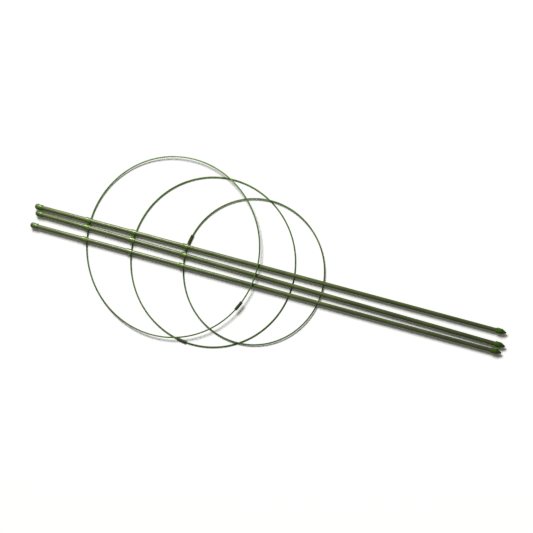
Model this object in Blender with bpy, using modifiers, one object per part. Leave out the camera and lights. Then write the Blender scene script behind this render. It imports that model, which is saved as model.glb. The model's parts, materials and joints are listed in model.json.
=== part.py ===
"""A folded plant support cage: three coated steel stakes, three wire rings and nine sliding clips.

The middle stake lies along +X with its ball cap at the low end and its point at the high end.
All lengths are metres and +Z is up. The folded bundle lies flat, and the finished cage is shifted
so that the origin is under the middle of its plan, on the surface that it lies on.
"""

import math

import bmesh
import bpy
from mathutils import Matrix, Vector

# Clearances between pieces that touch or slide
FIT_GAP = 0.0003
LIFT_GAP = 0.00035
GROUND_GAP = 0.00035

# Stakes
STAKE_LENGTH = 0.900
STAKE_RADIUS = 0.0038
COATING_WALL = 0.0005
STEEL_WALL = 0.0006
STAKE_SIDES = 24

# Ball cap on the top end
BALL_RADIUS = 0.0053
CAP_SKIRT_END = 0.0144
CAP_SEAT = 0.0070
CAP_RIM_RADIUS = 0.0052
CAP_NECK_RADIUS = 0.0047
CAP_RIM_LENGTH = 0.0014

# Pointed cap on the ground end
POINT_RADIUS = 0.0051
POINT_SHOULDER_RADIUS = 0.0048
POINT_SHOULDER_LENGTH = 0.0009
POINT_TIP_RADIUS = 0.0009
POINT_CONE_LENGTH = 0.0080
POINT_COLLAR_LENGTH = 0.0108
POINT_FLOOR = 0.0010

# The three stakes as they lie in the bundle: name, side offset, yaw in degrees, shift along
STAKES = (
    ("stake_a", 0.0115, 0.80, -0.0042),
    ("stake_b", 0.0, 0.0, 0.0),
    ("stake_c", -0.0231, 0.65, -0.0036),
)

# Rings: bare wire with its green coat
WIRE_RADIUS = 0.00125
WIRE_POINTS = 96
WIRE_BEVEL_STEPS = 2
JOINT_SPLIT = 0.0008
TOP_RING_RADIUS = 0.1620
MIDDLE_RING_RADIUS = 0.1522
LOWER_RING_RADIUS = 0.1308
TOP_RING_PLACE = 0.1006
MIDDLE_RING_PLACE = 0.1868
LOWER_RING_PLACE = 0.2862
TOP_RING_YAW = 2.9
MIDDLE_RING_YAW = 0.5
LOWER_RING_YAW = 2.2
TOP_SLEEVE_ANGLE = -154.8
MIDDLE_SLEEVE_ANGLE = -83.0
LOWER_SLEEVE_ANGLE = 10.5

# Sleeve that joins a ring's two wire ends
SLEEVE_LENGTH = 0.0180
SLEEVE_RADIUS = 0.0028
SLEEVE_BORE_RADIUS = 0.0016
SLEEVE_EDGE = 0.0004

# Clip: a collar that slides on the stake, and a hook that hangs under it
COLLAR_WALL = 0.0008
COLLAR_START = -0.0066
COLLAR_END = 0.0038
COLLAR_RIM_LENGTH = 0.0012
COLLAR_RIM_HEIGHT = 0.0002
POCKET_RADIUS = 0.0024
POCKET_ROOF_GAP = 0.0002
HOOK_WALL = 0.0012
HOOK_WIDTH = 0.0032
HOOK_LIP_ANGLE = 14.0
HOOK_CHIN_ANGLE = -45.0
HOOK_HEEL_ANGLE = 160.0
HOOK_STEPS = 14
WEB_START = -0.0060
WEB_END = -0.0025
WEB_ROOT_SHARE = 0.6
FOOT_THICKNESS = 0.0014
FOOT_LENGTH = 0.0034

# Worked out from the sizes above
STEEL_RADIUS = STAKE_RADIUS - COATING_WALL - FIT_GAP
SOCKET_RADIUS = STAKE_RADIUS + FIT_GAP
COLLAR_BORE_RADIUS = STAKE_RADIUS + FIT_GAP
COLLAR_RADIUS = COLLAR_BORE_RADIUS + COLLAR_WALL
RIM_RADIUS = COLLAR_RADIUS + COLLAR_RIM_HEIGHT
POCKET_DROP = RIM_RADIUS + POCKET_ROOF_GAP + POCKET_RADIUS
FOOT_DROP = POCKET_DROP + POCKET_RADIUS + FOOT_THICKNESS
REST_OVER_STAKES = STAKE_RADIUS + WIRE_RADIUS + LIFT_GAP
MIDDLE_RING_DROP = FOOT_DROP - WIRE_RADIUS - GROUND_GAP

# name, radius, place on the middle stake, yaw, sleeve angle, height of the far side
RINGS = (
    ("top_ring", TOP_RING_RADIUS, TOP_RING_PLACE, TOP_RING_YAW, TOP_SLEEVE_ANGLE,
     REST_OVER_STAKES),
    ("middle_ring", MIDDLE_RING_RADIUS, MIDDLE_RING_PLACE, MIDDLE_RING_YAW, MIDDLE_SLEEVE_ANGLE,
     -MIDDLE_RING_DROP),
    ("lower_ring", LOWER_RING_RADIUS, LOWER_RING_PLACE, LOWER_RING_YAW, LOWER_SLEEVE_ANGLE,
     -REST_OVER_STAKES),
)

# Modelling settings
MERGE = 0.00001
MARKER_SIZE = 0.02
SMOOTH_ANGLE = math.radians(35.0)
BALL_STEPS = 8


def clear_scene():
    """Remove whatever the file held before."""
    for old in list(bpy.data.objects):
        bpy.data.objects.remove(old, do_unlink=True)


def make_material(name, colour, roughness, metallic=0.0):
    """Return a plain Principled material."""
    material = bpy.data.materials.new(name)
    material.use_nodes = True
    shader = material.node_tree.nodes["Principled BSDF"]
    shader.inputs["Base Color"].default_value = (*colour, 1.0)
    shader.inputs["Roughness"].default_value = roughness
    shader.inputs["Metallic"].default_value = metallic
    return material


def new_collection(name):
    """Return a new collection in the scene."""
    collection = bpy.data.collections.new(name)
    bpy.context.scene.collection.children.link(collection)
    return collection


def add_empty(collection, name, parent, matrix):
    """Return an empty that carries other objects at a place in its parent's frame."""
    empty = bpy.data.objects.new(name, None)
    empty.empty_display_size = MARKER_SIZE
    collection.objects.link(empty)
    empty.parent = parent
    empty.matrix_local = matrix
    return empty


def along_x():
    """Return the turn that lays a shape turned about Z along +X."""
    return Matrix.Rotation(math.pi / 2, 4, "Y")


def turned(collection, name, profile, material, parent, place, closed=True):
    """Return a solid turned from (radius, length) points, lying along its parent's X axis.

    A closed profile is the section of a tube, and an open one starts and ends on the axis.
    """
    mesh = bpy.data.meshes.new(name)
    points = [(radius, 0.0, length) for radius, length in profile]
    edges = [(i, i + 1) for i in range(len(points) - 1)]
    if closed:
        edges.append((len(points) - 1, 0))
    mesh.from_pydata(points, edges, [])
    obj = bpy.data.objects.new(name, mesh)
    collection.objects.link(obj)
    obj.parent = parent
    obj.matrix_local = Matrix.Translation(place) @ along_x()
    screw = obj.modifiers.new("turn", "SCREW")
    screw.axis = "Z"
    screw.angle = 2 * math.pi
    screw.steps = STAKE_SIDES
    screw.render_steps = STAKE_SIDES
    screw.use_merge_vertices = True
    screw.merge_threshold = MERGE
    screw.use_smooth_shade = True
    mesh.materials.append(material)
    return obj


def tube_profile(outer, inner, start, end):
    """Return the section of a plain tube as (radius, length) points."""
    return [(outer, end), (outer, start), (inner, start), (inner, end)]


def ball_cap_profile():
    """Return the section of the ball cap: a ball, a neck, and a socket for the stake's end."""
    neck_angle = math.acos(CAP_NECK_RADIUS / BALL_RADIUS)
    neck_place = BALL_RADIUS + BALL_RADIUS * math.sin(neck_angle)
    rim_start = CAP_SKIRT_END - CAP_RIM_LENGTH
    points = [
        (SOCKET_RADIUS, CAP_SEAT - FIT_GAP),
        (SOCKET_RADIUS, CAP_SKIRT_END),
        (CAP_RIM_RADIUS, CAP_SKIRT_END),
        (CAP_RIM_RADIUS, rim_start),
        (CAP_NECK_RADIUS, rim_start),
        (CAP_NECK_RADIUS, neck_place),
    ]
    sweep = math.pi / 2 + neck_angle
    for step in range(1, BALL_STEPS):
        angle = neck_angle - sweep * step / BALL_STEPS
        points.append((BALL_RADIUS * math.cos(angle), BALL_RADIUS + BALL_RADIUS * math.sin(angle)))
    return [(0.0, CAP_SEAT - FIT_GAP)] + points + [(0.0, 0.0)]


def point_cap_profile():
    """Return the section of the pointed cap: a collar with a socket, and a blunt cone."""
    cone_start = STAKE_LENGTH - POINT_CONE_LENGTH
    collar_start = cone_start - POINT_COLLAR_LENGTH
    seat = cone_start - POINT_FLOOR
    return [
        (0.0, STAKE_LENGTH),
        (POINT_TIP_RADIUS, STAKE_LENGTH),
        (POINT_SHOULDER_RADIUS, cone_start),
        (POINT_RADIUS, cone_start - POINT_SHOULDER_LENGTH),
        (POINT_RADIUS, collar_start),
        (SOCKET_RADIUS, collar_start),
        (SOCKET_RADIUS, seat),
        (0.0, seat),
    ]


def sleeve_profile():
    """Return the section of a wire sleeve with its small end chamfers."""
    half = SLEEVE_LENGTH / 2
    return [
        (SLEEVE_RADIUS - SLEEVE_EDGE, half),
        (SLEEVE_RADIUS, half - SLEEVE_EDGE),
        (SLEEVE_RADIUS, SLEEVE_EDGE - half),
        (SLEEVE_RADIUS - SLEEVE_EDGE, -half),
        (SLEEVE_BORE_RADIUS, -half),
        (SLEEVE_BORE_RADIUS, half),
    ]


def collar_profile():
    """Return the section of a clip's collar with a raised rim at each end."""
    return [
        (RIM_RADIUS, COLLAR_END),
        (RIM_RADIUS, COLLAR_END - COLLAR_RIM_LENGTH),
        (COLLAR_RADIUS, COLLAR_END - COLLAR_RIM_LENGTH),
        (COLLAR_RADIUS, COLLAR_START + COLLAR_RIM_LENGTH),
        (RIM_RADIUS, COLLAR_START + COLLAR_RIM_LENGTH),
        (RIM_RADIUS, COLLAR_START),
        (COLLAR_BORE_RADIUS, COLLAR_START),
        (COLLAR_BORE_RADIUS, COLLAR_END),
    ]


def arc(radius, first, last, steps):
    """Return points on an arc round the pocket's centre, from one angle to another in degrees."""
    angles = [math.radians(first + (last - first) * i / steps) for i in range(steps + 1)]
    return [(radius * math.cos(a), -POCKET_DROP + radius * math.sin(a)) for a in angles]


def hook_outline():
    """Return the (along, up) outline of a clip's web, foot and hook as one closed loop."""
    root = -(COLLAR_BORE_RADIUS + COLLAR_WALL * WEB_ROOT_SHARE)
    pocket = arc(POCKET_RADIUS, HOOK_HEEL_ANGLE, 360.0 + HOOK_LIP_ANGLE, HOOK_STEPS)
    outer = POCKET_RADIUS + HOOK_WALL
    lip_side = arc(outer, HOOK_LIP_ANGLE, HOOK_CHIN_ANGLE, HOOK_STEPS // 2)
    foot = [(FOOT_LENGTH / 4, -FOOT_DROP), (-FOOT_LENGTH * 3 / 4, -FOOT_DROP)]
    top = [(WEB_START, root), (WEB_END, root)]
    return pocket + lip_side + foot + top


def make_clip_mesh():
    """Return one clip's mesh: the collar and the hook joined into a single body."""
    collar = turned(scratch, "collar", collar_profile(), plastic, None, Vector((0, 0, 0)))
    curve = bpy.data.curves.new("hook", "CURVE")
    curve.dimensions = "2D"
    curve.fill_mode = "BOTH"
    curve.extrude = HOOK_WIDTH / 2
    spline = curve.splines.new("POLY")
    outline = hook_outline()
    spline.points.add(len(outline) - 1)
    for point, (along, up) in zip(spline.points, outline):
        point.co = (along, up, 0.0, 1.0)
    spline.use_cyclic_u = True
    flat = bpy.data.objects.new("hook_outline", curve)
    scratch.objects.link(flat)
    flat.matrix_world = Matrix.Rotation(math.pi / 2, 4, "X")
    hook = solid_copy(flat, "hook")
    union = collar.modifiers.new("hook", "BOOLEAN")
    union.operation = "UNION"
    union.object = hook
    joined = solid_copy(collar, "clip")
    mesh = joined.data
    for leftover in (collar, flat, hook, joined):
        bpy.data.objects.remove(leftover, do_unlink=True)
    mesh.materials.clear()
    mesh.materials.append(plastic)
    mesh.shade_smooth()
    mesh.set_sharp_from_angle(angle=SMOOTH_ANGLE)
    return mesh


def solid_copy(obj, name):
    """Return a mesh object holding an object's evaluated shape in world place, ends welded."""
    bpy.context.view_layer.update()
    graph = bpy.context.evaluated_depsgraph_get()
    mesh = bpy.data.meshes.new_from_object(obj.evaluated_get(graph))
    mesh.transform(obj.matrix_world)
    work = bmesh.new()
    work.from_mesh(mesh)
    bmesh.ops.remove_doubles(work, verts=work.verts, dist=MERGE)
    bmesh.ops.recalc_face_normals(work, faces=work.faces)
    work.to_mesh(mesh)
    work.free()
    copy = bpy.data.objects.new(name, mesh)
    scratch.objects.link(copy)
    return copy


def stake_frame(offset, yaw, shift):
    """Return the place of a stake's top end in the bundle."""
    turn = Matrix.Rotation(math.radians(yaw), 4, "Z")
    return Matrix.Translation((shift, offset, 0.0)) @ turn


def make_stake(name, frame):
    """Make a stake's coating, its steel tube and its two caps."""
    start = CAP_SEAT
    end = STAKE_LENGTH - POINT_CONE_LENGTH - POINT_FLOOR - FIT_GAP
    origin = Vector((0, 0, 0))
    coat = tube_profile(STAKE_RADIUS, STAKE_RADIUS - COATING_WALL, start, end)
    steel = tube_profile(STEEL_RADIUS, STEEL_RADIUS - STEEL_WALL, start, end)
    turned(parts, name + "_coating", coat, coating, frame, origin)
    turned(parts, name + "_steel_tube", steel, bare_steel, frame, origin)
    turned(parts, name + "_ball_cap", ball_cap_profile(), ball_green, frame, origin, closed=False)
    turned(parts, name + "_point_cap", point_cap_profile(), point_green, frame, origin,
           closed=False)


def circle_side(centre, radius, side):
    """Return the near point of a ring's circle at a distance to the side of the middle stake."""
    across = side - centre.y
    return Vector((centre.x - math.sqrt(radius * radius - across * across), side))


def ring_layout(radius, place, yaw):
    """Return a ring's fold axis and its centre.

    The wire runs through three hooks that lie on a shallow arc. The fold axis is the straight
    line that halves this arc's height, so the wire wanders equally to both sides of it. The
    result is the axis point beside the middle stake, the turn of the axis, and the ring's
    centre in the frame of that axis.
    """
    turn = math.radians(yaw)
    centre = Vector((place + radius * math.cos(turn), radius * math.sin(turn)))
    sides = [offset + math.tan(math.radians(tilt)) * place for _, offset, tilt, _ in STAKES]
    upper = circle_side(centre, radius, max(sides))
    lower = circle_side(centre, radius, min(sides))
    chord = upper - lower
    along = chord.normalized()
    away = Vector((along.y, -along.x))
    half = chord.length / 2
    rise = radius - math.sqrt(radius * radius - half * half)
    start = lower - away * rise / 2
    hinge = start - along * (start.y / along.y)
    arm = centre - hinge
    return hinge, math.atan2(away.y, away.x), Vector((arm.dot(away), arm.dot(along)))


def make_ring(name, radius, place, yaw, sleeve_angle, far_height, bundle):
    """Make a ring's wire and sleeve on an empty that sits on its fold axis."""
    hinge, turn, centre = ring_layout(radius, place, yaw)
    climb = math.asin((far_height + POCKET_DROP) / (centre.x + radius))
    frame = Matrix.Translation((hinge.x, hinge.y, -POCKET_DROP))
    frame = frame @ Matrix.Rotation(turn, 4, "Z") @ Matrix.Rotation(-climb, 4, "Y")
    axis = add_empty(parts, name + "_fold", bundle, frame)
    middle = math.radians(sleeve_angle) + turn
    split = JOINT_SPLIT / radius
    curve = bpy.data.curves.new(name + "_wire", "CURVE")
    curve.dimensions = "3D"
    curve.bevel_depth = WIRE_RADIUS
    curve.bevel_resolution = WIRE_BEVEL_STEPS
    curve.use_fill_caps = True
    spline = curve.splines.new("POLY")
    spline.points.add(WIRE_POINTS - 1)
    for i, point in enumerate(spline.points):
        angle = middle + split / 2 + (2 * math.pi - split) * i / (WIRE_POINTS - 1)
        point.co = (centre.x - radius * math.cos(angle), centre.y + radius * math.sin(angle), 0, 1)
    curve.materials.append(wire_green)
    wire = bpy.data.objects.new(name + "_wire", curve)
    parts.objects.link(wire)
    wire.parent = axis
    # The straight sleeve is set in by half the bow of the wire that runs through it
    reach = radius * math.cos(SLEEVE_LENGTH / 4 / radius)
    spot = Vector((centre.x - reach * math.cos(middle), centre.y + reach * math.sin(middle), 0))
    sleeve = turned(parts, name + "_sleeve", sleeve_profile(), sleeve_green, axis, spot)
    heading = Matrix.Rotation(math.pi / 2 - middle, 4, "Z")
    sleeve.matrix_local = Matrix.Translation(spot) @ heading @ along_x()


def hook_place(ring, stake):
    """Return how far along a stake its clip sits, where the ring's fold axis crosses it."""
    _, radius, place, yaw, _, _ = ring
    _, offset, tilt, shift = stake
    hinge, turn, _ = ring_layout(radius, place, yaw)
    across = Vector((-math.sin(turn), math.cos(turn)))
    ahead = Vector((math.cos(math.radians(tilt)), math.sin(math.radians(tilt))))
    start = Vector((shift, offset))
    normal = Vector((across.y, -across.x))
    return (hinge - start).dot(normal) / ahead.dot(normal)


def make_clips(frames):
    """Make the nine clips, one where each ring crosses each stake."""
    mesh = make_clip_mesh()
    for ring in RINGS:
        for stake in STAKES:
            name = ring[0] + "_clip_" + stake[0][-1]
            clip = bpy.data.objects.new(name, mesh)
            parts.objects.link(clip)
            clip.parent = frames[stake[0]]
            clip.matrix_local = Matrix.Translation((hook_place(ring, stake), 0.0, 0.0))


def centre_on_floor(bundle):
    """Shift the whole cage so that the origin is under its middle, on the surface below it."""
    bpy.context.view_layer.update()
    graph = bpy.context.evaluated_depsgraph_get()
    corners = []
    for obj in parts.objects:
        if obj.type == "EMPTY":
            continue
        mesh = obj.evaluated_get(graph).to_mesh()
        corners += [obj.matrix_world @ vertex.co for vertex in mesh.vertices]
    low = Vector([min(c[i] for c in corners) for i in range(3)])
    high = Vector([max(c[i] for c in corners) for i in range(3)])
    bundle.location = (-(low.x + high.x) / 2, -(low.y + high.y) / 2, -low.z)
    bpy.context.view_layer.update()


def build():
    """Make the whole folded cage."""
    bundle = add_empty(parts, "bundle", None, Matrix())
    frames = {}
    for name, offset, yaw, shift in STAKES:
        frames[name] = add_empty(parts, name + "_axis", bundle, stake_frame(offset, yaw, shift))
        make_stake(name, frames[name])
    for ring in RINGS:
        make_ring(*ring, bundle)
    make_clips(frames)
    centre_on_floor(bundle)


clear_scene()
parts = new_collection("plant_support_cage")
scratch = new_collection("construction")
coating = make_material("coated_stake", (0.13, 0.19, 0.08), 0.35)
bare_steel = make_material("steel_tube", (0.55, 0.55, 0.53), 0.35, 1.0)
ball_green = make_material("ball_cap_plastic", (0.16, 0.34, 0.07), 0.35)
point_green = make_material("point_cap_plastic", (0.06, 0.22, 0.02), 0.4)
plastic = make_material("clip_plastic", (0.14, 0.34, 0.05), 0.3)
wire_green = make_material("coated_wire", (0.07, 0.18, 0.05), 0.4)
sleeve_green = make_material("sleeve_plastic", (0.05, 0.07, 0.02), 0.45)
build()
bpy.data.collections.remove(scratch)
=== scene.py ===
"""The looks of a folded plant support cage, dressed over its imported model.

Three coated stakes lie side by side. Three wire rings lie over and under them, and nine moulded
clips hold the rings, one where each ring crosses each stake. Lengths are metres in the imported
model's own frame.
"""

import json
import logging
import math
from dataclasses import dataclass, field
from enum import Enum
from typing import Dict, List, Optional, Sequence, Tuple, Union

import bmesh
import bpy
from mathutils import Matrix, Vector

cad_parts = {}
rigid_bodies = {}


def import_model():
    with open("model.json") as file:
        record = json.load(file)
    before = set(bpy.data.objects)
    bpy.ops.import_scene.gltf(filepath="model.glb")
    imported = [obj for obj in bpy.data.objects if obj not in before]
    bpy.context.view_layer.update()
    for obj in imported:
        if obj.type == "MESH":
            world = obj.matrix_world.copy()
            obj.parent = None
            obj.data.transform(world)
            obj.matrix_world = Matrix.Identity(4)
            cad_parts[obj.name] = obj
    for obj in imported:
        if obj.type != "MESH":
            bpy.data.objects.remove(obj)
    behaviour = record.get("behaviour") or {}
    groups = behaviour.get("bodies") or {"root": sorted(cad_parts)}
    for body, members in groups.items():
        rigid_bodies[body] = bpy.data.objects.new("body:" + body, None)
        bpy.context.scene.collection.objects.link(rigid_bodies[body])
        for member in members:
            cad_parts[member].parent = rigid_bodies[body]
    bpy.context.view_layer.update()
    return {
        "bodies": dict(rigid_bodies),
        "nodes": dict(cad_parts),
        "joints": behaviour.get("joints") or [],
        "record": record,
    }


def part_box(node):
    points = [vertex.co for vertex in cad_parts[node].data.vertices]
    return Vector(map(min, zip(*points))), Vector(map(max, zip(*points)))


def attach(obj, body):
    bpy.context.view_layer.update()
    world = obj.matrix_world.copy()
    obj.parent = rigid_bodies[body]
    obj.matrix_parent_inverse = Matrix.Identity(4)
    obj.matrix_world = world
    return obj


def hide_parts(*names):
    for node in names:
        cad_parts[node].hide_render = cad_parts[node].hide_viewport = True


LOG = logging.getLogger("plant_support_cage")

Colour = Tuple[float, float, float]
Point = Tuple[float, float]
SocketValue = Union[float, int, bool, Sequence[float], bpy.types.NodeSocket, bpy.types.Material]

DOUBLE = 0.000001  # Vertices this close are merged.
LEVEL = 0.00001  # Ends this close lie on one face.
CORNER_STEPS = 4  # Segments in a rounded corner.
SHARP_ANGLE = math.radians(40.0)  # Edges bent more than this stay sharp.
EDGE_ANGLE = math.radians(60.0)  # Edges bent more than this are rounded.
WIRE_SIDES = 20
TUBE_STATIONS = 91
WHITE = (1.0, 1.0, 1.0, 1.0)

SOFT, PLAIN, RICH = 2.0, 3.0, 4.0  # Finer layers over a noise pattern.
NOISE_ROUGHNESS = 0.55
SPREAD = (0.3, 0.7)  # Where most of a noise pattern's values lie.


class Slot(Enum):
    """The record's material slots."""

    STAKE_COATING = "stake_coating"
    STEEL_TUBE = "steel_tube"
    BALL_CAP = "ball_cap"
    POINT_CAP = "point_cap"
    CLIP = "clip"
    RING_WIRE = "ring_wire"
    RING_SLEEVE = "ring_sleeve"


class Bench:
    """Adds and joins the nodes of one node tree."""

    def __init__(self, tree: bpy.types.NodeTree) -> None:
        """Keep the tree that the nodes go into."""
        self.tree = tree

    def add(
        self,
        kind: str,
        inputs: Optional[Dict[Union[str, int], SocketValue]] = None,
        **settings: object,
    ) -> bpy.types.Node:
        """Add one node.

        Args:
            kind: Blender's name for the node type.
            inputs: A value or an output socket for each input, by name or number.
            **settings: The node's own properties.

        Returns:
            The new node.
        """
        node = self.tree.nodes.new(kind)
        for key, setting in settings.items():
            setattr(node, key, setting)
        for key, value in (inputs or {}).items():
            if isinstance(value, bpy.types.NodeSocket):
                self.tree.links.new(value, node.inputs[key])
            else:
                node.inputs[key].default_value = value
        return node


class SurfaceBench(Bench):
    """Makes a material from patterns on Object coordinates."""

    def __init__(self, name: str) -> None:
        """Start a material with its Principled shader.

        Args:
            name: The material's name.
        """
        self.material = bpy.data.materials.new(name)
        self.material.use_nodes = True
        super().__init__(self.material.node_tree)
        self.shader = self.tree.nodes["Principled BSDF"]
        self.place = self.add("ShaderNodeTexCoord").outputs["Object"]

    def noise(
        self,
        scale: float,
        detail: float = PLAIN,
        stretch: Sequence[float] = (1.0, 1.0, 1.0),
    ) -> bpy.types.NodeSocket:
        """Add a noise pattern.

        Args:
            scale: Waves per metre.
            detail: How many finer layers lie over the first.
            stretch: Scale of each axis, less than 1 to draw the pattern out along it.

        Returns:
            The pattern's value socket.
        """
        mapped = self.add("ShaderNodeMapping", {"Vector": self.place, "Scale": stretch})
        spots = {"Vector": mapped.outputs[0], "Scale": scale, "Detail": detail}
        return self.add(
            "ShaderNodeTexNoise", {**spots, "Roughness": NOISE_ROUGHNESS}
        ).outputs[0]

    def remap(
        self, value: bpy.types.NodeSocket, span: Point, result: Point = (0.0, 1.0)
    ) -> bpy.types.NodeSocket:
        """Move a value linearly from one span to another and clamp it.

        Args:
            value: The socket to read.
            span: The values at the two ends.
            result: What they become.

        Returns:
            The new value's socket.
        """
        ends = {1: span[0], 2: span[1], 3: result[0], 4: result[1]}
        return self.add("ShaderNodeMapRange", {0: value, **ends}).outputs[0]

    def blend(
        self,
        factor: bpy.types.NodeSocket,
        first: Union[Colour, bpy.types.NodeSocket],
        second: Union[Colour, bpy.types.NodeSocket],
    ) -> bpy.types.NodeSocket:
        """Mix two colours by a factor.

        Args:
            factor: 0 for the first colour, 1 for the second.
            first: A colour or a socket that carries one.
            second: A colour or a socket that carries one.

        Returns:
            The mixed colour's socket.
        """
        colours = [
            colour if isinstance(colour, bpy.types.NodeSocket) else (*colour, 1.0)
            for colour in (first, second)
        ]
        node = self.add(
            "ShaderNodeMix", {0: factor, 6: colours[0], 7: colours[1]}, data_type="RGBA"
        )
        return node.outputs[2]

    def bump(
        self,
        height: bpy.types.NodeSocket,
        distance: float,
        under: Optional[bpy.types.NodeSocket] = None,
    ) -> bpy.types.NodeSocket:
        """Raise the surface by a height pattern.

        Args:
            height: The pattern.
            distance: How far a height of 1 stands out, in metres.
            under: The normal that it lies on, if there is one.

        Returns:
            The new normal's socket.
        """
        inputs: Dict[Union[str, int], SocketValue] = {"Height": height, "Distance": distance}
        if under is not None:
            inputs["Normal"] = under
        return self.add("ShaderNodeBump", inputs).outputs[0]

    def finish(self, **sockets: SocketValue) -> bpy.types.Material:
        """Set or link the shader's inputs.

        Args:
            **sockets: A value or an output socket for each input, with _ for a space.

        Returns:
            The material.
        """
        for name, value in sockets.items():
            socket = self.shader.inputs[name.replace("_", " ")]
            if isinstance(value, bpy.types.NodeSocket):
                self.tree.links.new(value, socket)
            else:
                socket.default_value = value
        return self.material


@dataclass(frozen=True)
class CoatedStakeFinish:
    """Olive plastic drawn over a steel tube: long streaks, fine grain and a few scuffs.

    Here and in the other finishes, each pattern is given in waves per metre, and each span is
    the part of the pattern's values that shows.
    """

    name: str = "coated_stake_finish"
    deep: Colour = (0.066, 0.094, 0.020)
    pale: Colour = (0.122, 0.164, 0.042)
    scuff: Colour = (0.230, 0.270, 0.140)
    draw_out: Sequence[float] = (0.035, 1.0, 1.0)
    scratch_draw_out: Sequence[float] = (0.06, 1.0, 1.0)
    streaks: float = 420.0
    clouds: float = 28.0
    scratches: float = 1500.0
    grain: float = 2400.0
    pits: float = 900.0
    smears: float = 160.0
    tone_span: Point = (0.75, 1.3)
    scuff_span: Point = (0.66, 0.74)
    scuff_strength: float = 0.55
    grain_height: float = 0.00005
    pit_height: float = 0.00006
    roughness: Point = (0.22, 0.34)
    shine: float = 0.35

    def make(self) -> bpy.types.Material:
        """Make the material.

        Returns:
            The new material.
        """
        bench = SurfaceBench(self.name)
        streaks = bench.noise(self.streaks, RICH, self.draw_out)
        clouds = bench.noise(self.clouds, SOFT)
        tone = bench.add("ShaderNodeMath", {0: streaks, 1: clouds}, operation="ADD").outputs[0]
        body = bench.blend(bench.remap(tone, self.tone_span), self.deep, self.pale)
        scratches = bench.noise(self.scratches, SOFT, self.scratch_draw_out)
        worn = bench.remap(scratches, self.scuff_span, (0.0, self.scuff_strength))
        grain = bench.bump(bench.noise(self.grain, SOFT, self.draw_out), self.grain_height)
        pits = bench.bump(bench.noise(self.pits), self.pit_height, grain)
        return bench.finish(
            Base_Color=bench.blend(worn, body, self.scuff),
            Roughness=bench.remap(bench.noise(self.smears), SPREAD, self.roughness),
            Normal=pits,
            Specular_IOR_Level=self.shine,
        )


@dataclass(frozen=True)
class MouldedFinish:
    """Injection-moulded plastic: cloudy colour, orange peel, and rubbed paler spots."""

    name: str
    deep: Colour
    pale: Colour
    rubbed: Colour
    roughness: float
    shine: float = 0.25
    clouds: float = 260.0
    rubs: float = 900.0
    peel: float = 1500.0
    smears: float = 420.0
    cloud_span: Point = (0.35, 0.65)
    rub_span: Point = (0.60, 0.72)
    rub_strength: float = 0.5
    peel_height: float = 0.00005
    smoother: float = 0.06
    rougher: float = 0.08

    def make(self) -> bpy.types.Material:
        """Make the material.

        Returns:
            The new material.
        """
        bench = SurfaceBench(self.name)
        clouds = bench.remap(bench.noise(self.clouds), self.cloud_span)
        rubs = bench.remap(
            bench.noise(self.rubs, RICH), self.rub_span, (0.0, self.rub_strength)
        )
        body = bench.blend(clouds, self.deep, self.pale)
        peel = bench.bump(bench.noise(self.peel, SOFT), self.peel_height)
        gloss = (self.roughness - self.smoother, self.roughness + self.rougher)
        return bench.finish(
            Base_Color=bench.blend(rubs, body, self.rubbed),
            Roughness=bench.remap(bench.noise(self.smears), SPREAD, gloss),
            Normal=peel,
            Specular_IOR_Level=self.shine,
        )


@dataclass(frozen=True)
class DippedWireFinish:
    """Soft green plastic that a wire was dipped in: slow runs and a fine skin."""

    name: str = "dipped_wire_finish"
    deep: Colour = (0.052, 0.130, 0.011)
    pale: Colour = (0.108, 0.225, 0.026)
    scuff: Colour = (0.210, 0.330, 0.095)
    runs: float = 85.0
    scuffs: float = 700.0
    skin: float = 1300.0
    smears: float = 240.0
    run_span: Point = (0.35, 0.65)
    scuff_span: Point = (0.64, 0.76)
    scuff_strength: float = 0.6
    run_height: float = 0.00020
    skin_height: float = 0.00004
    roughness: Point = (0.28, 0.42)
    shine: float = 0.2

    def make(self) -> bpy.types.Material:
        """Make the material.

        Returns:
            The new material.
        """
        bench = SurfaceBench(self.name)
        runs = bench.noise(self.runs)
        body = bench.blend(bench.remap(runs, self.run_span), self.deep, self.pale)
        worn = bench.remap(
            bench.noise(self.scuffs), self.scuff_span, (0.0, self.scuff_strength)
        )
        slow = bench.bump(runs, self.run_height)
        skin = bench.bump(bench.noise(self.skin, SOFT), self.skin_height, slow)
        return bench.finish(
            Base_Color=bench.blend(worn, body, self.scuff),
            Roughness=bench.remap(bench.noise(self.smears, SOFT), SPREAD, self.roughness),
            Normal=skin,
            Specular_IOR_Level=self.shine,
        )


@dataclass(frozen=True)
class DrawnSteelFinish:
    """Bare drawn steel: lengthwise brushing and light stains."""

    name: str = "drawn_steel_finish"
    bright: Colour = (0.60, 0.60, 0.58)
    stained: Colour = (0.36, 0.33, 0.29)
    draw_out: Sequence[float] = (0.03, 1.0, 1.0)
    stains: float = 140.0
    brushing: float = 2600.0
    stain_span: Point = (0.45, 0.75)
    stain_strength: float = 0.8
    brush_height: float = 0.00004
    roughness: Point = (0.28, 0.46)

    def make(self) -> bpy.types.Material:
        """Make the material.

        Returns:
            The new material.
        """
        bench = SurfaceBench(self.name)
        stain = bench.remap(
            bench.noise(self.stains, RICH), self.stain_span, (0.0, self.stain_strength)
        )
        brushed = bench.noise(self.brushing, SOFT, self.draw_out)
        return bench.finish(
            Base_Color=bench.blend(stain, self.bright, self.stained),
            Metallic=1.0,
            Roughness=bench.remap(brushed, SPREAD, self.roughness),
            Normal=bench.bump(brushed, self.brush_height),
        )


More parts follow.
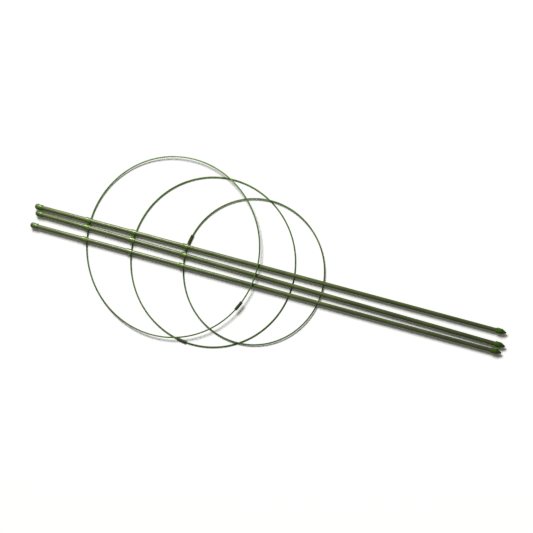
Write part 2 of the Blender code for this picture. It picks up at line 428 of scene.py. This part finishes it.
class Palette:
    """Makes each finish once and hands it out by slot."""

    def __init__(self) -> None:
        """Make all the materials of the cage."""
        finishes = {
            Slot.STAKE_COATING: CoatedStakeFinish(),
            Slot.STEEL_TUBE: DrawnSteelFinish(),
            Slot.BALL_CAP: MouldedFinish(
                name="ball_cap_finish",
                deep=(0.042, 0.092, 0.005),
                pale=(0.090, 0.165, 0.016),
                rubbed=(0.20, 0.34, 0.09),
                roughness=0.24,
                shine=0.4,
            ),
            Slot.POINT_CAP: MouldedFinish(
                name="point_cap_finish",
                deep=(0.045, 0.120, 0.003),
                pale=(0.095, 0.215, 0.010),
                rubbed=(0.17, 0.33, 0.07),
                roughness=0.34,
            ),
            Slot.CLIP: MouldedFinish(
                name="clip_finish",
                deep=(0.066, 0.122, 0.006),
                pale=(0.125, 0.208, 0.020),
                rubbed=(0.27, 0.41, 0.12),
                roughness=0.22,
                shine=0.4,
            ),
            Slot.RING_WIRE: DippedWireFinish(),
            Slot.RING_SLEEVE: MouldedFinish(
                name="sleeve_finish",
                deep=(0.030, 0.044, 0.008),
                pale=(0.066, 0.090, 0.020),
                rubbed=(0.14, 0.17, 0.08),
                roughness=0.40,
            ),
        }
        self.materials: Dict[Slot, bpy.types.Material] = {
            slot: finish.make() for slot, finish in finishes.items()
        }

    def __getitem__(self, slot: Slot) -> bpy.types.Material:
        """Return the material for a slot."""
        return self.materials[slot]


class Recipe:
    """A Geometry Nodes tree with named inputs that makes one mesh."""

    def __init__(self, name: str) -> None:
        """Start an empty tree that takes and gives a geometry."""
        self.tree = bpy.data.node_groups.new(name, "GeometryNodeTree")
        self.bench = Bench(self.tree)
        for direction in ("INPUT", "OUTPUT"):
            self.tree.interface.new_socket(
                name="Geometry", in_out=direction, socket_type="NodeSocketGeometry"
            )
        self.start = self.bench.add("NodeGroupInput")

    def size(self, name: str, kind: str = "NodeSocketFloat") -> bpy.types.NodeSocket:
        """Add a named input and return the socket that carries it."""
        self.tree.interface.new_socket(name=name, in_out="INPUT", socket_type=kind)
        return self.start.outputs[name]

    def close(self, geometry: bpy.types.NodeSocket) -> None:
        """End the tree: real instances, smooth faces and the material input.

        Args:
            geometry: What the tree has made.
        """
        material = self.size("Material", "NodeSocketMaterial")
        real = self.bench.add("GeometryNodeRealizeInstances", {"Geometry": geometry})
        smooth = self.bench.add("GeometryNodeSetShadeSmooth", {"Geometry": real.outputs[0]})
        coloured = self.bench.add(
            "GeometryNodeSetMaterial", {"Geometry": smooth.outputs[0], "Material": material}
        )
        self.bench.add("NodeGroupOutput", {"Geometry": coloured.outputs[0]})

    def cook(
        self,
        name: str,
        values: Dict[str, SocketValue],
        start: Optional[bpy.types.Mesh] = None,
        finish: Optional[List[Tuple[str, Dict[str, object]]]] = None,
    ) -> bpy.types.Mesh:
        """Run the tree once and return its result as a plain mesh.

        Args:
            name: The name of the new mesh.
            values: A value for each named input.
            start: The mesh that goes into the tree, or an empty one.
            finish: Modifiers that go on after the tree, as type and settings.

        Returns:
            The mesh, with the material on it.
        """
        holder = bpy.data.objects.new(name, start or bpy.data.meshes.new(name))
        bpy.context.scene.collection.objects.link(holder)
        modifier = holder.modifiers.new("recipe", "NODES")
        modifier.node_group = self.tree
        for item in self.tree.interface.items_tree:
            if item.in_out == "INPUT" and item.name in values:
                modifier[item.identifier] = values[item.name]
        add_modifiers(holder, finish or [])
        return baked(holder, name)


def add_modifiers(
    obj: bpy.types.Object, modifiers: List[Tuple[str, Dict[str, object]]]
) -> None:
    """Put modifiers on an object.

    Args:
        obj: The object.
        modifiers: Each modifier's type and settings, in order.
    """
    for kind, settings in modifiers:
        modifier = obj.modifiers.new(kind.lower(), kind)
        for key, value in settings.items():
            setattr(modifier, key, value)


def baked(holder: bpy.types.Object, name: str) -> bpy.types.Mesh:
    """Take an object's evaluated mesh and remove the object.

    Args:
        holder: The object, with its modifiers.
        name: The name of the new mesh.

    Returns:
        The evaluated mesh.
    """
    bpy.context.view_layer.update()
    graph = bpy.context.evaluated_depsgraph_get()
    mesh = bpy.data.meshes.new_from_object(holder.evaluated_get(graph))
    mesh.name = name
    bpy.data.objects.remove(holder, do_unlink=True)
    return mesh


def rounded(corners: Sequence[Tuple[float, float, float]]) -> List[Point]:
    """Round the corners of an outline.

    Args:
        corners: Each corner as two coordinates and the distance cut back on both sides.

    Returns:
        The outline's points. Its first and last corners stay where they are if their cut is 0.
    """
    points: List[Point] = []
    count = len(corners)
    for i, (across, along, cut) in enumerate(corners):
        here = Vector((across, along))
        if cut == 0.0:
            points.append((across, along))
            continue
        before = Vector(corners[i - 1][:2])
        after = Vector(corners[(i + 1) % count][:2])
        first = here + (before - here).normalized() * cut
        last = here + (after - here).normalized() * cut
        for step in range(CORNER_STEPS + 1):
            t = step / CORNER_STEPS
            spot = first * (1 - t) ** 2 + here * 2 * t * (1 - t) + last * t**2
            points.append((spot.x, spot.y))
    return points


def turned(name: str, profile: Sequence[Point], sides: int, closed: bool) -> bpy.types.Mesh:
    """Turn a (length, radius) profile round the X axis.

    Args:
        name: The mesh's name.
        profile: Points along the section. Radius 0 is a pole on the axis.
        sides: Faces round the axis.
        closed: Whether the last point joins the first.

    Returns:
        The mesh with outward faces.
    """
    work = bmesh.new()
    hoops: List[List[bmesh.types.BMVert]] = []
    for length, radius in profile:
        if radius == 0.0:
            hoops.append([work.verts.new((length, 0.0, 0.0))])
            continue
        angles = [2 * math.pi * i / sides for i in range(sides)]
        hoops.append(
            [work.verts.new((length, radius * math.cos(a), radius * math.sin(a))) for a in angles]
        )
    pairs = list(zip(hoops, hoops[1:]))
    if closed:
        pairs.append((hoops[-1], hoops[0]))
    for low, high in pairs:
        for i in range(sides):
            j = (i + 1) % sides
            ring = [low[i % len(low)], low[j % len(low)], high[j % len(high)], high[i % len(high)]]
            work.faces.new(list(dict.fromkeys(ring)))
    bmesh.ops.remove_doubles(work, verts=work.verts, dist=DOUBLE)
    bmesh.ops.recalc_face_normals(work, faces=work.faces)
    mesh = bpy.data.meshes.new(name)
    work.to_mesh(mesh)
    work.free()
    return mesh


@dataclass
class Fitter:
    """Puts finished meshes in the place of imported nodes."""

    palette: Palette
    cage: bpy.types.Collection
    count: int = 0

    def fit(
        self, name: str, mesh: bpy.types.Mesh, body: str, nodes: Sequence[str], slot: Slot
    ) -> None:
        """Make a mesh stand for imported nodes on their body.

        Args:
            name: The new piece's name.
            mesh: Its mesh, already in place.
            body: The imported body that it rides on.
            nodes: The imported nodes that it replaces.
            slot: The record's slot for its finish.
        """
        mesh.materials.clear()
        mesh.materials.append(self.palette[slot])
        mesh.shade_smooth()
        mesh.set_sharp_from_angle(angle=SHARP_ANGLE)
        piece = bpy.data.objects.new(name, mesh)
        bpy.context.scene.collection.objects.link(piece)
        self.cage.objects.link(piece)
        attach(piece, body)
        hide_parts(*nodes)
        self.count += 1
        LOG.info("%s rides on %s with %d faces", name, body, len(mesh.polygons))


@dataclass
class Stake:
    """A coated steel stake with a ball cap on top and a pointed cap below.

    Its top end lies beside the middle stake's, shifted along and to the side, and it is turned
    by yaw degrees. Lengths along it start at its top end.
    """

    name: str
    body: str
    side: float
    yaw: float
    shift: float
    origin: Vector
    length: float = 0.900
    radius: float = 0.0038
    coat_wall: float = 0.0005
    coat_start: float = 0.0070
    socket: float = 0.0041
    ball: float = 0.0053
    neck: float = 0.0047
    rim: float = 0.0052
    rim_length: float = 0.0014
    rim_step: float = 0.0001
    rim_round: float = 0.00035
    lip_round: float = 0.00012
    skirt_end: float = 0.0144
    point_collar: float = 0.0051
    point_shoulder: float = 0.0048
    point_shoulder_length: float = 0.0009
    point_tip: float = 0.0009
    point_cone: float = 0.0080
    point_grip: float = 0.0108
    point_floor: float = 0.0010
    tip_round: float = 0.0005
    shoulder_round: float = 0.0008
    collar_round: float = 0.0004
    mouth_round: float = 0.00015
    fit_gap: float = 0.0003
    sides: int = 48
    ball_steps: int = 22

    def frame(self) -> Matrix:
        """Return the place of the stake's top end, with the stake along its X axis."""
        start = self.origin + Vector((self.shift, self.side, 0.0))
        return Matrix.Translation(start) @ Matrix.Rotation(math.radians(self.yaw), 4, "Z")

    def coat(self, recipe: Recipe, material: bpy.types.Material) -> bpy.types.Mesh:
        """Make the coat: a long tube swept by the recipe and given its wall.

        Args:
            recipe: The recipe for a tube along a line.
            material: The coat's material.

        Returns:
            The coat's mesh in its place.
        """
        end = self.length - self.point_cone - self.point_floor - self.fit_gap
        wall = {"thickness": self.coat_wall, "offset": -1.0, "use_even_offset": True}
        values = {
            "Start": (self.coat_start, 0.0, 0.0),
            "End": (end, 0.0, 0.0),
            "Radius": self.radius,
            "Material": material,
        }
        mesh = recipe.cook(self.name + "_coat", values, finish=[("SOLIDIFY", wall)])
        mesh.transform(self.frame())
        return mesh

    def ball_cap(self) -> bpy.types.Mesh:
        """Make the ball cap: a ball, a neck, a raised rim and a socket.

        Returns:
            The cap's mesh in its place.
        """
        waist = math.acos(self.neck / self.ball)
        profile: List[Point] = [(0.0, 0.0)]
        for step in range(1, self.ball_steps + 1):
            angle = -math.pi / 2 + (math.pi / 2 + waist) * step / self.ball_steps
            profile.append(
                (self.ball + self.ball * math.sin(angle), self.ball * math.cos(angle))
            )
        rim_start = self.skirt_end - self.rim_length
        seat = self.coat_start - self.fit_gap
        corners = [
            (rim_start, self.neck, 0.0),
            (rim_start + self.rim_step, self.rim, 0.0),
            (self.skirt_end, self.rim, self.rim_round),
            (self.skirt_end, self.socket, self.lip_round),
            (seat, self.socket, 0.0),
            (seat, 0.0, 0.0),
        ]
        mesh = turned(self.name + "_cap", profile + rounded(corners), self.sides, False)
        mesh.transform(self.frame())
        return mesh

    def point_cap(self) -> bpy.types.Mesh:
        """Make the pointed cap: a collar with soft edges, and a cone with a blunt tip.

        Returns:
            The cap's mesh in its place.
        """
        cone_start = self.length - self.point_cone
        collar_start = cone_start - self.point_grip
        seat = cone_start - self.point_floor
        corners = [
            (self.length, 0.0, 0.0),
            (self.length, self.point_tip, self.tip_round),
            (cone_start, self.point_shoulder, self.shoulder_round),
            (cone_start - self.point_shoulder_length, self.point_collar, self.collar_round),
            (collar_start, self.point_collar, self.collar_round),
            (collar_start, self.socket, self.mouth_round),
            (seat, self.socket, 0.0),
            (seat, 0.0, 0.0),
        ]
        mesh = turned(self.name + "_point", rounded(corners), self.sides, False)
        mesh.transform(self.frame())
        return mesh

    def dress(self, fitter: Fitter, recipe: Recipe, nodes: Dict[str, bpy.types.Object]) -> None:
        """Fit the coat and both caps, and give the steel tube its finish.

        Args:
            fitter: Puts the pieces in place.
            recipe: The recipe for a tube along a line.
            nodes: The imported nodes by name.
        """
        coating = fitter.palette[Slot.STAKE_COATING]
        pieces = (
            ("coating", self.coat(recipe, coating), Slot.STAKE_COATING),
            ("ball_cap", self.ball_cap(), Slot.BALL_CAP),
            ("point_cap", self.point_cap(), Slot.POINT_CAP),
        )
        for part, mesh, slot in pieces:
            node = f"{self.name}_{part}"
            fitter.fit(node + "_dressed", mesh, self.body, [node], slot)
        tube = nodes[self.name + "_steel_tube"]
        for material_slot in tube.material_slots:
            material_slot.material = fitter.palette[Slot.STEEL_TUBE]
        LOG.info("%s keeps its packed shape", tube.name)


@dataclass
class Ring:
    """A wire ring with the sleeve that joins its ends, hooked under the three stakes.

    Its near side crosses the middle stake at place, and it is turned there by yaw degrees. The
    sleeve's angle is counted clockwise from the near side, and the far side's height from the
    stakes' axes. The fold axis and the centre are found from the stakes by lay_out.
    """

    name: str
    radius: float
    place: float
    yaw: float
    sleeve_angle: float
    far_height: float
    wire: float = 0.00125
    split: float = 0.0008
    pocket_drop: float = 0.0077
    sleeve_length: float = 0.0180
    sleeve_radius: float = 0.0028
    sleeve_bore: float = 0.0016
    sleeve_round: float = 0.0004
    wire_steps: int = 320
    sleeve_steps: int = 24
    hinge: Vector = field(init=False)
    turn: float = field(init=False)
    centre: Vector = field(init=False)

    def lay_out(self, stakes: Sequence[Stake]) -> None:
        """Find the fold axis and the ring's centre in its frame.

        Args:
            stakes: The three stakes that the ring hangs under.
        """
        yaw = math.radians(self.yaw)
        centre = Vector((self.place + self.radius * math.cos(yaw), self.radius * math.sin(yaw)))
        sides = [s.side + math.tan(math.radians(s.yaw)) * self.place for s in stakes]
        spots = []
        for side in (max(sides), min(sides)):
            across = side - centre.y
            spots.append(Vector((centre.x - math.sqrt(self.radius**2 - across**2), side)))
        chord = spots[0] - spots[1]
        along = chord.normalized()
        away = Vector((along.y, -along.x))
        rise = self.radius - math.sqrt(self.radius**2 - chord.length_squared / 4)
        start = spots[1] - away * rise / 2
        self.hinge = start - along * (start.y / along.y)
        arm = centre - self.hinge
        self.turn = math.atan2(away.y, away.x)
        self.centre = Vector((arm.dot(away), arm.dot(along)))

    def frame(self, origin: Vector) -> Matrix:
        """Find the place of the fold axis, tilted so that the far side lies at its height.

        Args:
            origin: The middle stake's top end.

        Returns:
            The place, with the ring in its XY plane and the fold axis along its Y axis.
        """
        climb = math.asin(
            (self.far_height + self.pocket_drop) / (self.centre.x + self.radius)
        )
        start = origin + Vector((self.hinge.x, self.hinge.y, -self.pocket_drop))
        return (
            Matrix.Translation(start)
            @ Matrix.Rotation(self.turn, 4, "Z")
            @ Matrix.Rotation(-climb, 4, "Y")
        )

    def hook_distance(self, stake: Stake) -> float:
        """Find where the fold axis crosses a stake.

        Args:
            stake: The stake.

        Returns:
            The distance from the stake's top end.
        """
        across = Vector((-math.sin(self.turn), math.cos(self.turn)))
        yaw = math.radians(stake.yaw)
        ahead = Vector((math.cos(yaw), math.sin(yaw)))
        normal = Vector((across.y, -across.x))
        return (self.hinge - Vector((stake.shift, stake.side))).dot(normal) / ahead.dot(normal)

    def dress(self, fitter: Fitter, recipe: Recipe, origin: Vector) -> None:
        """Fit the wire and the sleeve.

        Args:
            fitter: Puts the pieces in place.
            recipe: The recipe for a wire along a ring.
            origin: The middle stake's top end.
        """
        frame = self.frame(origin)
        middle = math.pi - math.radians(self.sleeve_angle) - self.turn
        gap = self.split / self.radius
        values: Dict[str, SocketValue] = {
            "Ring centre": (self.centre.x, self.centre.y, 0.0),
            "Ring radius": self.radius,
            "Start": middle + gap / 2,
            "Sweep": 2 * math.pi - gap,
            "Steps": self.wire_steps,
            "Wire radius": self.wire,
            "Closed ends": True,
            "Material": fitter.palette[Slot.RING_WIRE],
        }
        wire = recipe.cook(self.name + "_coat", values)
        sweep = self.sleeve_length / self.radius
        values.update(
            {
                "Start": middle - sweep / 2,
                "Sweep": sweep,
                "Steps": self.sleeve_steps,
                "Wire radius": self.sleeve_radius,
                "Closed ends": False,
                "Material": fitter.palette[Slot.RING_SLEEVE],
            }
        )
        wall = {"thickness": self.sleeve_radius - self.sleeve_bore, "offset": -1.0}
        edge = {
            "width": self.sleeve_round,
            "segments": CORNER_STEPS,
            "limit_method": "ANGLE",
            "angle_limit": EDGE_ANGLE,
        }
        sleeve = recipe.cook(
            self.name + "_joiner", values, finish=[("SOLIDIFY", wall), ("BEVEL", edge)]
        )
        pieces = (("wire", wire, Slot.RING_WIRE), ("sleeve", sleeve, Slot.RING_SLEEVE))
        for part, mesh, slot in pieces:
            mesh.transform(frame)
            node = f"{self.name}_{part}"
            fitter.fit(node + "_dressed", mesh, self.name, [node], slot)


@dataclass
class Clip:
    """A moulded clip: a collar that slides on a stake, and a hook that hangs under it.

    Lengths along the stake are counted from the middle of the hook's pocket, and drops from the
    stake's axis. Angles go round the pocket in degrees, from the stake's point end upwards.
    """

    bore: float = 0.0041
    wall: float = 0.0008
    start: float = -0.0066
    end: float = 0.0038
    rim_length: float = 0.0012
    rim_height: float = 0.0002
    rim_round: float = 0.00035
    mouth_round: float = 0.00015
    pocket_drop: float = 0.0077
    pocket: float = 0.0024
    hook_wall: float = 0.0012
    hook_width: float = 0.0032
    hook_round: float = 0.00035
    lip_angle: float = 14.0
    chin_angle: float = -45.0
    heel_angle: float = 160.0
    web_start: float = -0.0060
    web_end: float = -0.0025
    web_root_share: float = 0.6
    foot_drop: float = 0.0115
    foot_length: float = 0.0034
    sides: int = 56
    pocket_steps: int = 36
    chin_steps: int = 12
    hook_round_steps: int = 3

    def collar(self) -> bpy.types.Mesh:
        """Make the collar, with a rounded rim at each end.

        Returns:
            The collar's mesh.
        """
        body = self.bore + self.wall
        rim = body + self.rim_height
        low, high = self.start + self.rim_length, self.end - self.rim_length
        step = self.rim_height / 2
        corners = [
            (self.end, self.bore, self.mouth_round),
            (self.end, rim, self.rim_round),
            (high, rim, step),
            (high, body, step),
            (low, body, step),
            (low, rim, step),
            (self.start, rim, self.rim_round),
            (self.start, self.bore, self.mouth_round),
        ]
        return turned("collar", rounded(corners), self.sides, True)

    def arc(self, radius: float, first: float, last: float, steps: int) -> List[Point]:
        """Return (along, up) points round the pocket, between two angles in degrees."""
        angles = [math.radians(first + (last - first) * i / steps) for i in range(steps + 1)]
        return [(radius * math.cos(a), radius * math.sin(a) - self.pocket_drop) for a in angles]

    def hook(self) -> bpy.types.Mesh:
        """Make the web, foot and hook as one plate with soft edges.

        Returns:
            The plate's mesh.
        """
        top = -(self.bore + self.wall * self.web_root_share)
        turn_end = 360.0 + self.lip_angle
        outer = self.pocket + self.hook_wall
        outline = self.arc(self.pocket, self.heel_angle, turn_end, self.pocket_steps)
        outline += self.arc(outer, self.lip_angle, self.chin_angle, self.chin_steps)
        outline += [
            (self.foot_length / 4, -self.foot_drop),
            (-self.foot_length * 3 / 4, -self.foot_drop),
            (self.web_start, top),
            (self.web_end, top),
        ]
        work = bmesh.new()
        half = self.hook_width / 2
        near = [work.verts.new((x, -half, z)) for x, z in outline]
        side = work.faces.new(near)
        made = bmesh.ops.extrude_face_region(work, geom=[side])
        moved = [v for v in made["geom"] if isinstance(v, bmesh.types.BMVert)]
        bmesh.ops.translate(work, verts=moved, vec=(0.0, self.hook_width, 0.0))
        bmesh.ops.recalc_face_normals(work, faces=work.faces)
        rims = [e for e in work.edges if abs(e.verts[0].co.y - e.verts[1].co.y) < LEVEL]
        bmesh.ops.bevel(
            work,
            geom=rims,
            offset=self.hook_round,
            segments=self.hook_round_steps,
            profile=0.5,
            affect="EDGES",
        )
        mesh = bpy.data.meshes.new("hook")
        work.to_mesh(mesh)
        work.free()
        return mesh

    def mould(self) -> bpy.types.Mesh:
        """Make the whole clip round the origin, as one closed body.

        Returns:
            The clip's mesh.
        """
        holders = []
        for name, mesh in (("collar", self.collar()), ("hook", self.hook())):
            holder = bpy.data.objects.new(name, mesh)
            bpy.context.scene.collection.objects.link(holder)
            holders.append(holder)
        collar, hook = holders
        add_modifiers(collar, [("BOOLEAN", {"operation": "UNION", "object": hook})])
        mesh = baked(collar, "clip")
        bpy.data.objects.remove(hook, do_unlink=True)
        return mesh

    def dress(
        self, fitter: Fitter, recipe: Recipe, rings: Sequence[Ring], stakes: Sequence[Stake]
    ) -> None:
        """Fit one clip where each ring crosses each stake.

        Args:
            fitter: Puts the pieces in place.
            recipe: The recipe for a clip on a stake.
            rings: The three rings, laid out.
            stakes: The three stakes.
        """
        master = self.mould()
        for ring in rings:
            for stake in stakes:
                letter = stake.name[-1]
                node = f"{ring.name}_clip_{letter}"
                place = stake.frame() @ Vector((ring.hook_distance(stake), 0.0, 0.0))
                values = {
                    "Place": place,
                    "Turn": (0.0, 0.0, math.radians(stake.yaw)),
                    "Material": fitter.palette[Slot.CLIP],
                }
                mesh = recipe.cook(node + "_mould", values, start=master)
                body = f"{ring.name}_slider_{letter}"
                fitter.fit(node + "_dressed", mesh, body, [node], Slot.CLIP)


def straight_tube_recipe() -> Recipe:
    """Write the recipe that sweeps a round section along a straight line.

    Returns:
        The recipe, with its start, end and radius as inputs.
    """
    recipe = Recipe("tube along a line")
    bench = recipe.bench
    start, end = recipe.size("Start", "NodeSocketVector"), recipe.size("End", "NodeSocketVector")
    line = bench.add("GeometryNodeCurvePrimitiveLine", {"Start": start, "End": end})
    path = bench.add(
        "GeometryNodeResampleCurve", {"Curve": line.outputs[0], "Count": TUBE_STATIONS}
    )
    section = bench.add(
        "GeometryNodeCurvePrimitiveCircle",
        {"Resolution": Stake.sides, "Radius": recipe.size("Radius")},
    )
    swept = bench.add(
        "GeometryNodeCurveToMesh",
        {"Curve": path.outputs[0], "Profile Curve": section.outputs[0], "Fill Caps": False},
    )
    recipe.close(swept.outputs[0])
    return recipe


def ring_recipe() -> Recipe:
    """Write the recipe that sweeps a round section along part of a ring.

    Returns:
        The recipe, with the ring's and the section's sizes as inputs.
    """
    recipe = Recipe("wire along a ring")
    bench = recipe.bench
    arc = bench.add(
        "GeometryNodeCurveArc",
        {
            "Resolution": recipe.size("Steps", "NodeSocketInt"),
            "Radius": recipe.size("Ring radius"),
            "Start Angle": recipe.size("Start"),
            "Sweep Angle": recipe.size("Sweep"),
        },
        mode="RADIUS",
    )
    moved = bench.add(
        "GeometryNodeTransform",
        {
            "Geometry": arc.outputs[0],
            "Translation": recipe.size("Ring centre", "NodeSocketVector"),
        },
    )
    section = bench.add(
        "GeometryNodeCurvePrimitiveCircle",
        {"Resolution": WIRE_SIDES, "Radius": recipe.size("Wire radius")},
    )
    swept = bench.add(
        "GeometryNodeCurveToMesh",
        {
            "Curve": moved.outputs[0],
            "Profile Curve": section.outputs[0],
            "Fill Caps": recipe.size("Closed ends", "NodeSocketBool"),
        },
    )
    recipe.close(swept.outputs[0])
    return recipe


def clip_recipe() -> Recipe:
    """Write the recipe that stands a copy of the moulded clip at its place on a stake.

    Returns:
        The recipe, with the place and the turn as inputs.
    """
    recipe = Recipe("clip on a stake")
    turn = recipe.bench.add(
        "FunctionNodeEulerToRotation", {0: recipe.size("Turn", "NodeSocketVector")}
    )
    placed = recipe.bench.add(
        "GeometryNodeTransform",
        {
            "Geometry": recipe.start.outputs["Geometry"],
            "Translation": recipe.size("Place", "NodeSocketVector"),
            "Rotation": turn.outputs[0],
        },
    )
    recipe.close(placed.outputs[0])
    return recipe


@dataclass(frozen=True)
class Lamp:
    """A square lamp, placed to the right, up and high in the picture's plan."""

    name: str
    place: Tuple[float, float, float]
    size: float
    power: float


@dataclass
class Studio:
    """The pale floor, the white surroundings, two lamps and the camera.

    The picture's plan is the floor turned by heading degrees, and the camera leans to the right
    by tilt degrees. The window lights the floor alone, and the softbox the cage alone.
    """

    heading: float = 15.42
    tilt: float = 14.6
    frame_height: float = 0.95354
    distance: float = 30.0
    sensor: float = 36.0
    sight: float = 120.0
    view_right: float = 0.42527
    view_up: float = -0.09678
    floor_size: float = 60.0
    window: Lamp = Lamp("window", (0.12, 6.6, 12.0), 4.3, 1430.0)
    softbox: Lamp = Lamp("softbox", (-0.28, 0.66, 0.42), 0.22, 9.0)
    fill: float = 0.130
    fill_colour: Colour = (1.0, 0.96, 0.88)
    shown: float = 1.0
    mirrored: float = 0.50
    paper_tone: float = 0.10
    paper_mirrored: float = 0.95
    paper_shown: float = 1.345
    paper_roughness: float = 0.9

    def plan(self, right: float, up: float, height: float = 0.0) -> Vector:
        """Find a point of the picture's plan.

        Args:
            right: Metres to the right.
            up: Metres up the picture.
            height: Metres above the floor.

        Returns:
            The point's place.
        """
        turn = math.radians(self.heading)
        across = Vector((math.cos(turn), math.sin(turn), 0.0))
        ahead = Vector((-math.sin(turn), math.cos(turn), 0.0))
        return across * right + ahead * up + Vector((0.0, 0.0, height))

    def camera(self, origin: Vector) -> None:
        """Stand the camera above the cage, leaning to the picture's right.

        Args:
            origin: The middle stake's top end, from which the view's centre is measured.
        """
        data = bpy.data.cameras.new("camera")
        data.sensor_width = self.sensor
        data.lens = self.sensor * self.distance / self.frame_height
        data.clip_end = self.sight
        camera = bpy.data.objects.new("camera", data)
        bpy.context.scene.collection.objects.link(camera)
        lean = math.radians(self.tilt)
        target = Vector((origin.x, origin.y, 0.0)) + self.plan(self.view_right, self.view_up)
        back = self.plan(math.sin(lean), 0.0, math.cos(lean))
        up = self.plan(0.0, 1.0)
        side = up.cross(back)
        turn = Matrix((side, up, back)).transposed().to_4x4()
        camera.matrix_world = Matrix.Translation(target + back * self.distance) @ turn
        bpy.context.scene.camera = camera

    def backdrop(
        self,
        bench: Bench,
        shown: bpy.types.Node,
        mirrored: bpy.types.Node,
        dim: bpy.types.Node,
    ) -> None:
        """Show the camera one shader, glossy and clear rays another, and the rest a dim one.

        Args:
            bench: The bench of the tree, which already has its output.
            shown: The shader for the camera.
            mirrored: The shader for glossy and transmission rays.
            dim: The shader for all other rays.
        """
        rays = bench.add("ShaderNodeLightPath")
        mix = dim
        for ray, shader in (
            ("Is Glossy Ray", mirrored),
            ("Is Transmission Ray", mirrored),
            ("Is Camera Ray", shown),
        ):
            choice = {0: rays.outputs[ray], 1: mix.outputs[0], 2: shader.outputs[0]}
            mix = bench.add("ShaderNodeMixShader", choice)
        end = next(node for node in bench.tree.nodes if node.type.startswith("OUTPUT"))
        bench.tree.links.new(mix.outputs[0], end.inputs["Surface"])

    def surroundings(self) -> None:
        """Light the scene evenly, and show white behind it."""
        world = bpy.data.worlds.new("surroundings")
        bpy.context.scene.world = world
        world.use_nodes = True
        bench = Bench(world.node_tree)
        dim = bench.tree.nodes["Background"]
        dim.inputs["Color"].default_value = (*self.fill_colour, 1.0)
        dim.inputs["Strength"].default_value = self.fill
        shown, mirrored = [
            bench.add("ShaderNodeBackground", {0: WHITE, 1: strength})
            for strength in (self.shown, self.mirrored)
        ]
        self.backdrop(bench, shown, mirrored, dim)

    def floor(self, ground: bpy.types.Collection) -> None:
        """Lay a plain pale floor that keeps the cage's shadow and is clear from beneath.

        Args:
            ground: The collection that lists it for the window.
        """
        work = bmesh.new()
        bmesh.ops.create_grid(work, x_segments=1, y_segments=1, size=self.floor_size / 2)
        mesh = bpy.data.meshes.new("floor")
        work.to_mesh(mesh)
        work.free()
        bench = SurfaceBench("floor_paper")
        tone = (self.paper_tone, self.paper_tone, self.paper_tone, 1.0)
        bench.finish(
            Base_Color=tone, Roughness=self.paper_roughness, Specular_IOR_Level=0.0
        )
        shown, mirrored = [
            bench.add("ShaderNodeBsdfDiffuse", {"Color": (level, level, level, 1.0)})
            for level in (self.paper_shown, self.paper_mirrored)
        ]
        self.backdrop(bench, shown, mirrored, bench.shader)
        surface = bench.tree.nodes["Material Output"].inputs["Surface"]
        beneath = bench.add("ShaderNodeNewGeometry").outputs["Backfacing"]
        clear = bench.add("ShaderNodeBsdfTransparent").outputs[0]
        sides = {0: beneath, 1: surface.links[0].from_socket, 2: clear}
        bench.tree.links.new(bench.add("ShaderNodeMixShader", sides).outputs[0], surface)
        mesh.materials.append(bench.material)
        floor = bpy.data.objects.new("floor", mesh)
        bpy.context.scene.collection.objects.link(floor)
        ground.objects.link(floor)

    def hang(self, lamp: Lamp, lit: bpy.types.Collection) -> None:
        """Hang a lamp so that it shines at the middle of the cage.

        Args:
            lamp: The lamp's size, power and place.
            lit: The only pieces that it lights.
        """
        data = bpy.data.lights.new(lamp.name, "AREA")
        data.shape = "SQUARE"
        data.size = lamp.size
        data.energy = lamp.power
        hung = bpy.data.objects.new(lamp.name, data)
        bpy.context.scene.collection.objects.link(hung)
        place = self.plan(*lamp.place)
        turn = place.to_track_quat("Z", "Y").to_matrix().to_4x4()
        hung.matrix_world = Matrix.Translation(place) @ turn
        hung.visible_camera = False
        hung.light_linking.receiver_collection = lit

    def set_up(
        self, origin: Vector, cage: bpy.types.Collection, ground: bpy.types.Collection
    ) -> None:
        """Make the whole studio, with plain colour handling.

        Args:
            origin: The middle stake's top end.
            cage: The pieces that the softbox lights.
            ground: A collection for the floor, which the window lights.
        """
        bpy.context.scene.view_settings.view_transform = "Standard"
        self.camera(origin)
        self.surroundings()
        self.floor(ground)
        self.hang(self.window, ground)
        self.hang(self.softbox, cage)


def bundle_origin(coat_start: float, radius: float) -> Vector:
    """Read the place of the middle stake's top end from its packed coating.

    Args:
        coat_start: Where the coating starts along the stake.
        radius: The coating's radius.

    Returns:
        The place.
    """
    low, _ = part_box("stake_b_coating")
    return low + Vector((-coat_start, radius, radius))


def main() -> None:
    """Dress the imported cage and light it."""
    logging.basicConfig(level=logging.INFO, format="%(message)s")
    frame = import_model()
    origin = bundle_origin(Stake.coat_start, Stake.radius)
    cage = bpy.data.collections.new("cage")
    ground = bpy.data.collections.new("ground")
    Studio().set_up(origin, cage, ground)
    stakes = [
        Stake("stake_a", "upper_stake", side=0.0115, yaw=0.80, shift=-0.0042, origin=origin),
        Stake("stake_b", "middle_stake", side=0.0, yaw=0.0, shift=0.0, origin=origin),
        Stake("stake_c", "lower_stake", side=-0.0231, yaw=0.65, shift=-0.0036, origin=origin),
    ]
    rings = [
        Ring(
            "top_ring",
            radius=0.1620,
            place=0.1006,
            yaw=2.9,
            sleeve_angle=-154.8,
            far_height=0.0054,
        ),
        Ring(
            "middle_ring",
            radius=0.1522,
            place=0.1868,
            yaw=0.5,
            sleeve_angle=-83.0,
            far_height=-0.0099,
        ),
        Ring(
            "lower_ring",
            radius=0.1308,
            place=0.2862,
            yaw=2.2,
            sleeve_angle=10.5,
            far_height=-0.0054,
        ),
    ]
    fitter = Fitter(Palette(), cage)
    tube = straight_tube_recipe()
    for stake in stakes:
        stake.dress(fitter, tube, frame["nodes"])
    wire = ring_recipe()
    for ring in rings:
        ring.lay_out(stakes)
        ring.dress(fitter, wire, origin)
    Clip().dress(fitter, clip_recipe(), rings, stakes)
    LOG.info("%d pieces fitted", fitter.count)


if __name__ == "__main__":
    main()
